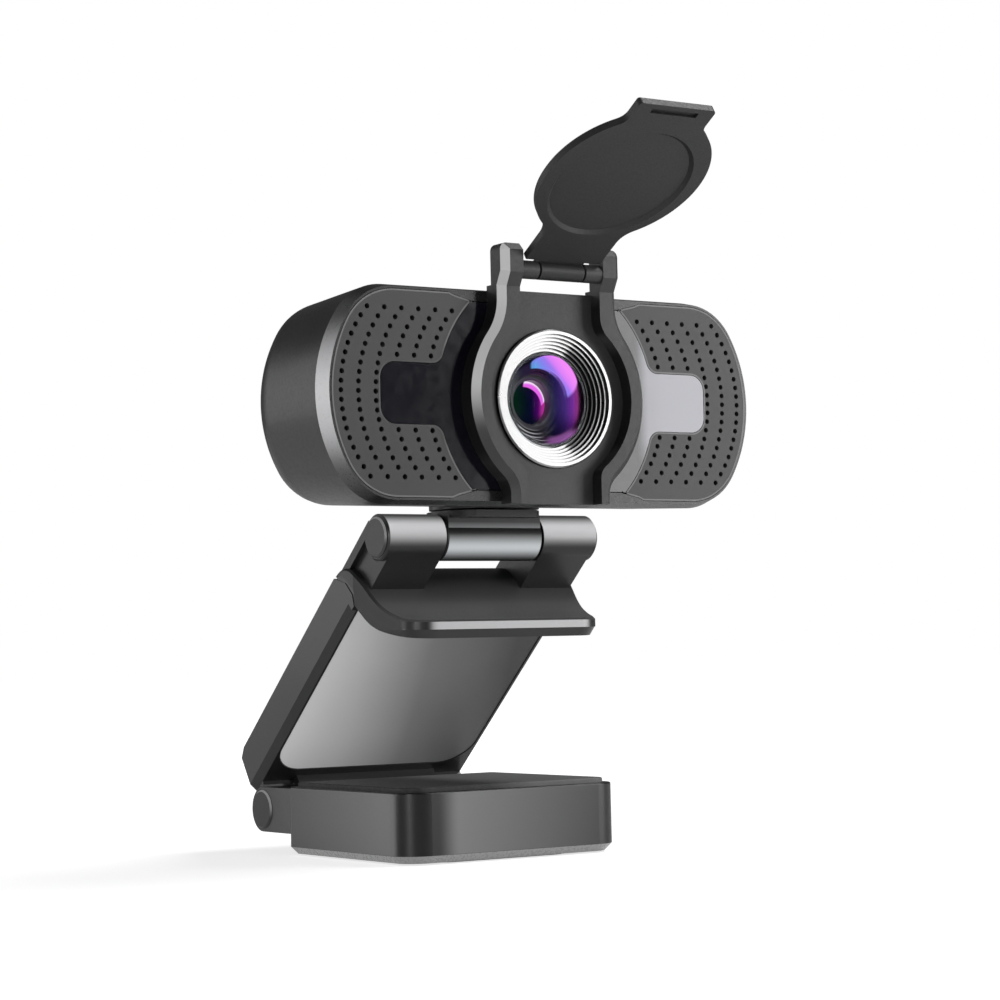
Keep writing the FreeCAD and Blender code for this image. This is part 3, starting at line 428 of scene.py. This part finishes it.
def metal(name, colour, rough, scale):
    """Metal with fine turned or brushed lines that follow the given scale."""
    look = Look(name)
    lines = look.noise(1.0, 4.0, look.stretched(scale))
    slow = look.noise(60.0, 3.0)
    look.feed(look.mottled(slow, grey(0.9, colour), grey(1.06, colour)), "Base Color")
    look.feed(look.spread(lines, rough * 0.7, rough * 1.3), "Roughness")
    look.bump(lines, 0.002)
    look.set(Metallic=1.0)
    return look.made


def clear(name, colour, rough=0.02):
    """Clear glass or plastic with the faintest smears."""
    look = Look(name)
    smear = look.noise(160.0, 5.0)
    look.feed(look.mottled(smear, grey(0.96, colour), colour), "Base Color")
    look.feed(look.spread(smear, rough * 0.6, rough * 1.6), "Roughness")
    look.set(Transmission_Weight=1.0, IOR=1.5)
    return look.made


def painted_light_panel():
    """Metal-flake lacquer whose colour and glow carry painted light, fading from pale silver at one side to
    near black at the other.
    """
    look = Look("panel_painted_light")
    flake = look.noise(5200.0, 2.0)
    cloud = look.noise(30.0, 3.0)
    x, _, z = look.place()
    low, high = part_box("leg_panel")
    sideways = look.spread(x, 0.0, 0.90, low.x, high.x)
    rising = look.spread(z, 0.0, 0.24, low.z, high.z)
    fade = look.math("ADD", look.math("ADD", sideways, rising), look.spread(cloud, -0.02, 0.02))
    pale = look.ramp(fade, [(0.0, grey(0.74)), (0.3, grey(0.50)), (0.6, grey(0.20)), (1.0, grey(0.035))])
    look.feed(pale, "Base Color")
    look.feed(pale, "Emission Color")
    look.feed(look.spread(flake, 0.36, 0.48), "Roughness")
    look.bump(flake, 0.003)
    look.set(Emission_Strength=0.30)
    return look.made


def ring_silver():
    """Bright treads and risers painted dark as painted shade; towards the right the deeper treads fall into
    painted shade.
    """
    outside = RING_R / MM
    lip, pitch = 0.75, 0.52       # width of the plain outer tread, and of each step inside it
    look = Look("ring_silver")
    right, high = look.across()
    far = look.length(right, high)
    _, y, _ = look.place()
    _, ny, _ = look.facing()
    lines = look.noise(900.0, 3.0)
    bright = look.mottled(lines, grey(0.40), grey(0.46))
    tread = look.rise(look.size(ny), 0.3, 0.6)
    step = look.math("FRACT", look.math("DIVIDE", look.math("SUBTRACT", outside - lip, far), pitch))
    shade = look.fall(step, 0.30, 0.55, smooth=True)
    inner = look.fall(far, outside - 0.85, outside - 0.70)
    side = look.rise(look.math("DIVIDE", right, far), 0.34, 0.50, smooth=True)
    deeper = look.spread(y, 0.0, 0.93, RING_FRONT + 0.5 * MM, RING_FRONT + 1.9 * MM)
    line_shade = look.product(shade, look.spread(side, 0.22, 1.0, 0.0, 1.0))
    # Painted shade along the risers, and on the deeper treads towards the right.
    ring_painted_shade = look.product(inner, look.math("ADD", line_shade, look.product(deeper, side)))
    kept = look.product(tread, look.without(look.math("MINIMUM", ring_painted_shade, 1.0)))
    look.feed(look.mix(kept, grey(0.035), bright), "Base Color")
    look.feed(look.spread(lines, 0.26, 0.36), "Roughness")
    look.bump(lines, 0.0006)
    look.set(Metallic=0.9)
    return look.made


def front_painted_reflections():
    """Clear glass with glowing painted reflections of its coating: a violet body, one large crescent and a
    low sheen.
    """
    # Circles of the painted reflections drawn on the glass, in millimetres from the axis: centre, radius,
    # softness.
    crescent_outside = (0.75, 2.05), 5.25, 0.14
    crescent_inside = (-1.75, -0.15), 5.25, 0.14
    crescent_ends = (1.75, 4.75), 4.55, 0.35
    body_edge = (-0.2, -0.2), 6.5, 0.5
    sheen_outside = (0.6, -0.2), 7.0, 0.3
    sheen_inside = (-0.2, 0.9), 7.1, 0.4
    # Colours of the painted reflections along the crescent from its blue end, and across the body to its
    # right edge.
    crescent_colours = [(0.0, (0.10, 0.36, 0.72)), (0.30, (0.22, 0.24, 0.86)), (0.52, (0.34, 0.20, 0.86)),
                        (0.72, (0.72, 0.22, 0.94)), (1.0, (0.90, 0.26, 0.94))]
    body_colours = [(0.0, (0.0, 0.0, 0.004)), (0.34, (0.005, 0.006, 0.040)),
                    (0.62, (0.040, 0.014, 0.140)), (0.80, (0.120, 0.016, 0.250)),
                    (0.93, (0.240, 0.026, 0.200)), (1.0, (0.030, 0.004, 0.020))]
    sheen_colour = (0.26, 0.09, 0.30)
    glass = (0.92, 0.94, 0.96)

    look = Look("lens_front_painted_reflections")
    right, high = look.across()
    crescent = look.product(look.disc(right, high, *crescent_outside),
                            look.without(look.disc(right, high, *crescent_inside)),
                            look.disc(right, high, *crescent_ends))
    slant = look.math("ADD", look.product(right, 0.90), look.product(high, 0.75))
    glow = look.ramp(look.rise(slant, 1.6, 7.2), crescent_colours)
    violet = look.ramp(look.rise(right, -2.0, 6.2), body_colours)
    low = look.spread(high, 0.25, 1.0, -6.0, -1.0, smooth=True)
    body = look.product(look.spread(right, 0.0, 0.95, -1.6, 2.0, smooth=True),
                        look.disc(right, high, *body_edge))
    sheen = look.product(look.disc(right, high, *sheen_outside),
                         look.without(look.disc(right, high, *sheen_inside)),
                         look.rise(right, -1.5, 1.0, smooth=True),
                         look.spread(high, 0.8, 0.0, -5.6, -3.8, smooth=True))
    cover = look.math("MAXIMUM", look.math("MAXIMUM", body, crescent), look.product(sheen, 0.8))
    dim = look.mix(low, grey(0.0), violet)
    shaded = look.mix(sheen, look.mix(crescent, dim, glow), sheen_colour)
    look.feed(look.mix(cover, glass, grey(0.0)), "Base Color")
    look.feed(look.mix(cover, grey(0.0), shaded), "Emission Color")
    look.set(Roughness=0.03, IOR=1.05, Emission_Strength=1.0, Transmission_Weight=1.0)
    return look.made


def rear_painted_reflections():
    """Black glass with glowing painted reflections: deep green and blue, a magenta edge and a small pink
    crescent.
    """
    crescent_inside = (-0.95, -0.95), 3.60, 0.12
    crescent_ends = (1.50, 1.90), 2.50, 0.12
    glass_edge = (0.0, 0.0), 3.25, 0.25
    pink, pink_edge = (0.85, 0.14, 0.86), (1.0, 0.80, 1.0)
    body_colours = [(0.0, (0.001, 0.020, 0.004)), (0.38, (0.001, 0.006, 0.010)),
                    (0.58, (0.001, 0.001, 0.022)), (0.78, (0.060, 0.002, 0.110)),
                    (0.95, (0.450, 0.030, 0.300))]
    foot_colour = (0.001, 0.003, 0.012)

    look = Look("lens_rear_painted_reflections")
    right, high = look.across()
    crescent = look.product(look.without(look.disc(right, high, *crescent_inside)),
                            look.disc(right, high, *crescent_ends))
    edge = look.without(look.disc(right, high, *glass_edge))
    deep = look.ramp(look.rise(right, -3.6, 3.4), body_colours)
    body = look.mix(look.rise(high, -3.4, -1.2, smooth=True), foot_colour, deep)
    look.feed(look.mix(crescent, NEAR_BLACK, grey(0.01)), "Base Color")
    look.feed(look.mix(crescent, body, look.mix(edge, pink, pink_edge)), "Emission Color")
    look.set(Roughness=0.2, Emission_Strength=1.0, Specular_IOR_Level=0.05)
    return look.made


def material_set():
    """Every finish by its key in FINISH; some carry painted light and painted shade. A moulded one's numbers
    are its tone, its roughness, its grain and the grain's depth in millimetres, and how far its tone wanders."""
    return {
        "shell": moulded("shell_satin_black_painted_shade", grey(0.016), 0.36, 0.5, 0.0008, 0.25, coat=0.08,
                         painted_shade=housing_painted_shade),
        "bezel": moulded("bezel_lacquer_painted_highlight", grey(0.010), 0.30, 0.5, 0.001, 0.2, painted_light=bezel_painted_highlight),
        "grille": moulded("grille_satin", grey(0.034), 0.46, 0.25, 0.003, 0.10),
        "frame": moulded("frame_matt_painted_light", grey(0.034), 0.50, 0.30, 0.004, 0.10, painted_light=frame_painted_highlight,
                         painted_shade=frame_painted_shade),
        "flap": moulded("flap_matt", grey(0.018), 0.50, 0.30, 0.004, 0.10),
        "bead": moulded("bead_painted_highlight", grey(0.15), 0.40, 0.30, 0.001, 0.08, painted_shade=bead_painted_shade),
        "clip": moulded("clip_satin_black_painted_highlights", grey(0.017), 0.36, 0.30, 0.001, 0.15, painted_light=clip_painted_highlights),
        "neck": moulded("neck_satin_black_painted_highlight", grey(0.013), 0.38, 0.30, 0.001, 0.15, painted_light=neck_painted_highlight),
        "leg": moulded("leg_lacquer_black", grey(0.020), 0.32, 0.30, 0.0006, 0.15, coat=0.1),
        "base": moulded("base_lacquer_black_painted_light", grey(0.005), 0.34, 0.5, 0.0004, 0.2, coat=0.05,
                        painted_light=base_painted_light, painted_shade=corner_painted_shade),
        "tray": moulded("tray_lacquer_black_painted_highlight", grey(0.012), 0.28, 0.5, 0.0006, 0.2, coat=0.3,
                        painted_light=bevel_painted_highlight),
        "cap": moulded("cap_black_painted_highlight", grey(0.012), 0.34, 0.3, 0.002, 0.2, painted_light=cap_rim_painted_highlight),
        "pad": moulded("pad_rubber_painted_light", grey(0.030), 0.62, 0.5, 0.02, 0.15, painted_light=pad_painted_light),
        "rubber": moulded("rubber_black", grey(0.020), 0.75, 0.6, 0.02, 0.2),
        "board": moulded("board_green", (0.010, 0.085, 0.030), 0.35, 0.6, 0.01, 0.25, coat=0.5),
        "chip": moulded("chip_black", grey(0.016), 0.5, 0.2, 0.004),
        "white": moulded("socket_white", grey(0.62), 0.45, 0.4, 0.004, 0.05),
        "steel": metal("steel_plated", (0.56, 0.56, 0.58), 0.30, (900.0, 900.0, 900.0)),
        "brass": metal("brass_turned", (0.70, 0.50, 0.22), 0.30, (200.0, 200.0, 5000.0)),
        "aluminium": metal("microphone_can", (0.66, 0.66, 0.67), 0.32, (1500.0, 1500.0, 1500.0)),
        "glass": clear("plain_glass", (0.95, 0.97, 0.96)),
        "lamp": clear("lamp_plastic", (0.80, 0.90, 0.84), 0.15),
        "silver": ring_silver(),
        "front_lens": front_painted_reflections(),
        "rear_lens": rear_painted_reflections(),
        "barrel": moulded("barrel_anodised_painted_light", grey(0.012), 0.34, 0.2, 0.002, 0.2, painted_light=lens_barrel_painted_light),
        "window": moulded("window_gloss_painted_reflection", (0.0035, 0.0035, 0.0075), 0.12, 1.2, 0.0001, 0.1,
                          painted_light=window_painted_reflection),
        "panel": painted_light_panel(),
    }


FINISH = {
    "shell": ("rear_housing",),
    "bezel": ("front_bezel",),
    "grille": ("grille_right", "grille_left"),
    "frame": ("shutter_frame",),
    "flap": ("shutter_flap",),
    "clip": ("lip_cover",),
    "neck": ("neck_block",),
    "leg": ("leg_shell",),
    "base": ("base_shell",),
    "tray": ("base_cover",),
    "cap": ("tilt_caps", "fold_caps"),
    "pad": ("base_pad",),
    "rubber": ("rubber_foot", "cable_gland", "mic_boots"),
    "board": ("main_board",),
    "chip": ("image_sensor", "image_processor", "lens_holder"),
    "white": ("cable_socket",),
    "steel": ("base_screws", "fold_pin", "tilt_bolt", "tilt_nut", "tilt_washers", "swivel_washer",
              "swivel_screw", "housing_screws", "board_screws", "shutter_pin"),
    "brass": ("tripod_insert",),
    "aluminium": ("microphones",),
    "glass": ("ir_filter",),
    "lamp": ("status_led",),
    "silver": ("lens_ring",),
    "barrel": ("lens_barrel",),
    "window": ("fascia_panel",),
    "panel": ("leg_panel",),
}


def paint_nodes(looks):
    for key, names in FINISH.items():
        for name in names:
            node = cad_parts[name]
            node.data.materials.clear()
            node.data.materials.append(looks[key])


# ---- pieces built here -------------------------------------------------------------
def new_piece(name, mesh, look, replaced=()):
    """Links a finished mesh, gives it its finish and lets it ride on the head."""
    mesh.materials.append(look)
    made = bpy.data.objects.new(name, mesh)
    bpy.context.scene.collection.objects.link(made)
    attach(made, "head")
    if replaced:
        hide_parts(*replaced)


def turned(name, profile):
    """Mesh turned about the optical axis from (radius, y) points. The two ends lie on the axis, or
    they are the same point."""
    mesh = bpy.data.meshes.new(name)
    shape = bmesh.new()
    turns = [2 * math.pi * step / TURNED_STEPS for step in range(TURNED_STEPS)]
    rings = []
    for radius, y in profile:
        around = turns if radius > 0.0 else turns[:1]
        rings.append([shape.verts.new((AXIS_X + radius * math.cos(turn), y, AXIS_Z + radius * math.sin(turn)))
                      for turn in around])
    for near, far in zip(rings, rings[1:]):
        for step in range(TURNED_STEPS):
            after = (step + 1) % TURNED_STEPS
            corners = [near[step % len(near)], near[after % len(near)],
                       far[after % len(far)], far[step % len(far)]]
            shape.faces.new(list(dict.fromkeys(corners)))
    bmesh.ops.recalc_face_normals(shape, faces=shape.faces)
    for face in shape.faces:
        face.smooth = True
    for edge in shape.edges:
        edge.smooth = edge.calc_face_angle(0.0) < SMOOTH_BELOW
    shape.to_mesh(mesh)
    shape.free()
    return mesh


def dome(radius, y_edge, bulge, rows=14):
    """Points of a spherical cap from its tip on the axis out to its edge."""
    ball = (radius ** 2 + bulge ** 2) / (2 * bulge)
    out = []
    for row in range(rows + 1):
        r = radius * row / rows
        out.append((r, y_edge - bulge + ball - math.sqrt(ball ** 2 - r ** 2)))
    return out


def front_lens(looks):
    """Front element, seated on the barrel's rim inside the silver ring, and its retaining ring."""
    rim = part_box("lens_barrel")[0].y - 0.04 * MM
    front_r, back_r = ELEMENT_R
    front = dome(front_r, rim - 0.06 * MM, ELEMENT_BULGE[0])
    back = dome(back_r, rim + 0.85 * MM, ELEMENT_BULGE[1])
    profile = front + [(front_r, rim), (back_r, rim)] + back[::-1]
    new_piece("front_element", turned("front_element", profile), looks["front_lens"],
              ["lens_front"])
    outside, chamfer, bore = RETAINER_R
    top = rim + 1.0 * MM
    foot, seat = (top + deep for deep in RETAINER_DEEP)
    loop = [(outside, top), (chamfer, top), (bore, foot), (bore, seat), (outside, seat), (outside, top)]
    new_piece("retaining_ring", turned("retaining_ring", loop), looks["barrel"],
              ["lens_retainer"])


def rear_lens(looks):
    """Rear element, deep in the barrel."""
    low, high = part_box("lens_rear")
    radius = (high.x - low.x) / 2
    profile = dome(radius, low.y + REAR_BULGE, REAR_BULGE) + [(radius, high.y), (0.0, high.y)]
    new_piece("rear_element", turned("rear_element", profile), looks["rear_lens"],
              ["lens_rear"])


def outline(name):
    """Corners, in order, of the long outer edge round a plate's flat front."""
    shape = bmesh.new()
    shape.from_mesh(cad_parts[name].data)
    shape.transform(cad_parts[name].matrix_world)
    bmesh.ops.remove_doubles(shape, verts=shape.verts, dist=0.002 * MM)
    front = min(vert.co.y for vert in shape.verts) + 0.01 * MM
    rim = {}
    for edge in shape.edges:
        flat = [all(vert.co.y < front for vert in face.verts) for face in edge.link_faces]
        if flat.count(True) == 1 and flat.count(False) == 1:
            first, second = edge.verts
            rim.setdefault(first, []).append(second)
            rim.setdefault(second, []).append(first)
    loops = []
    while rim:
        here = next(iter(rim))
        loop = []
        while here in rim:
            loop.append(here.co.copy())
            onward = [vert for vert in rim.pop(here) if vert in rim]
            if not onward:
                break
            here = onward[0]
        loops.append(loop)
    shape.free()
    return max(loops, key=lambda loop: max(p.z for p in loop) - min(p.z for p in loop))


def grille_highlight_bead(looks, plate, name):
    """Thin pale bead along the outer edge of a grille plate, a painted highlight for the light its edge
    catches.
    """
    points = outline(plate)
    ahead = points[1:] + points[:1]
    behind = points[-1:] + points[:-1]
    area = sum(a.x * b.z - b.x * a.z for a, b in zip(points, ahead))
    turn = 1.0 if area > 0 else -1.0
    out, back = Vector((0, -BEAD_PROUD, 0)), Vector((0, BEAD_SUNK, 0))
    mesh = bpy.data.meshes.new(name)
    shape = bmesh.new()
    rows = []
    for before, point, after in zip(behind, points, ahead):
        along = (after - before).normalized()
        inward = Vector((-along.z, 0.0, along.x)) * turn * BEAD_WIDE
        rows.append([shape.verts.new(point + offset) for offset in (out, inward + out, inward + back, back)])
    for near, far in zip(rows, rows[1:] + rows[:1]):
        for side in range(4):
            after = (side + 1) % 4
            shape.faces.new((near[side], near[after], far[after], far[side]))
    bmesh.ops.recalc_face_normals(shape, faces=shape.faces)
    shape.to_mesh(mesh)
    shape.free()
    new_piece(name, mesh, looks["bead"])


# ---- stage -------------------------------------------------------------------------
def camera():
    azimuth, elevation, roll = (math.radians(a) for a in (CAMERA_AZIMUTH, CAMERA_ELEVATION, CAMERA_ROLL))
    back = Vector((math.sin(azimuth) * math.cos(elevation), -math.cos(azimuth) * math.cos(elevation),
                   math.sin(elevation)))
    right = Vector((0, 0, 1)).cross(back).normalized()
    up = back.cross(right)
    turned_right = right * math.cos(roll) + up * math.sin(roll)
    turned_up = up * math.cos(roll) - right * math.sin(roll)
    axes = Matrix((turned_right, turned_up, back)).transposed().to_4x4()
    data = bpy.data.cameras.new("camera")
    data.sensor_width = CAMERA_SENSOR_MM
    data.lens = CAMERA_LENS_MM
    data.clip_start, data.clip_end = CAMERA_CLIP
    made = bpy.data.objects.new("camera", data)
    made.matrix_world = Matrix.Translation(CAMERA_AT) @ axes
    bpy.context.scene.collection.objects.link(made)
    bpy.context.scene.camera = made


def softbox(name, place, size, glow):
    """A rectangular light that faces the object; glow is how bright its face is."""
    data = bpy.data.lights.new(name, "AREA")
    data.shape = "RECTANGLE"
    data.size, data.size_y = size
    data.energy = math.pi * size[0] * size[1] * glow
    made = bpy.data.objects.new(name, data)
    made.location = place
    made.rotation_euler = (LIGHTS_AIM - Vector(place)).to_track_quat("-Z", "Y").to_euler()
    bpy.context.scene.collection.objects.link(made)


def studio():
    """A white surround for the eye, a dim grey one for the reflections, and five soft boxes."""
    world = bpy.data.worlds.new("studio")
    world.use_nodes = True
    bpy.context.scene.world = world
    tree = world.node_tree
    seen = tree.nodes["Background"]
    seen.inputs["Color"].default_value = (1.0, 1.0, 1.0, 1.0)
    seen.inputs["Strength"].default_value = SURROUND_SEEN
    felt = tree.nodes.new("ShaderNodeBackground")
    felt.inputs["Color"].default_value = (*SURROUND_FELT, 1.0)
    path = tree.nodes.new("ShaderNodeLightPath")
    mixed = tree.nodes.new("ShaderNodeMixShader")
    tree.links.new(path.outputs["Is Camera Ray"], mixed.inputs[0])
    tree.links.new(felt.outputs["Background"], mixed.inputs[1])
    tree.links.new(seen.outputs["Background"], mixed.inputs[2])
    tree.links.new(mixed.outputs["Shader"], tree.nodes["World Output"].inputs["Surface"])
    softbox("right_card", (0.66, -0.61, 0.15), (0.45, 0.50), 6.0)
    softbox("left_card", (-0.75, -0.50, 0.12), (0.20, 0.50), 7.0)
    softbox("side_card", (-0.86, 0.33, 0.12), (0.16, 0.45), 6.0)
    softbox("back_card", (-0.48, 0.76, 0.22), (0.35, 0.40), 1.4)
    softbox("top_box", (0.42, -0.22, 0.75), (0.50, 0.35), 7.0)
    bpy.context.scene.view_settings.view_transform = "Standard"


def floor():
    """Pale floor: it glows enough to meet the white surround far away, and takes soft shadows near by."""
    look = Look("floor_pale")
    slow = look.noise(3.0, 2.0)
    look.feed(look.mottled(slow, grey(FLOOR_TONE[0]), grey(FLOOR_TONE[1])), "Base Color")
    length = look.node("ShaderNodeVectorMath")
    length.operation = "LENGTH"
    look.join(look.coords, length.inputs[0])
    shown = look.spread(length.outputs["Value"], *FLOOR_GLOW, *FLOOR_GLOW_AT, smooth=True)
    path = look.node("ShaderNodeLightPath").outputs["Is Camera Ray"]
    bounce = look.product(look.without(path), FLOOR_BOUNCE)
    look.feed(look.math("ADD", look.product(shown, path), bounce), "Emission Strength")
    look.set(Roughness=0.8, Emission_Color=(1.0, 1.0, 1.0, 1.0))
    mesh = bpy.data.meshes.new("floor")
    shape = bmesh.new()
    bmesh.ops.create_grid(shape, x_segments=8, y_segments=8, size=FLOOR_SIZE)
    shape.to_mesh(mesh)
    shape.free()
    mesh.materials.append(look.made)
    made = bpy.data.objects.new("floor", mesh)
    bpy.context.scene.collection.objects.link(made)


looks = material_set()
paint_nodes(looks)
front_lens(looks)
rear_lens(looks)
grille_highlight_bead(looks, "grille_left", "grille_highlight_bead_left")
grille_highlight_bead(looks, "grille_right", "grille_highlight_bead_right")
floor()
studio()
camera()
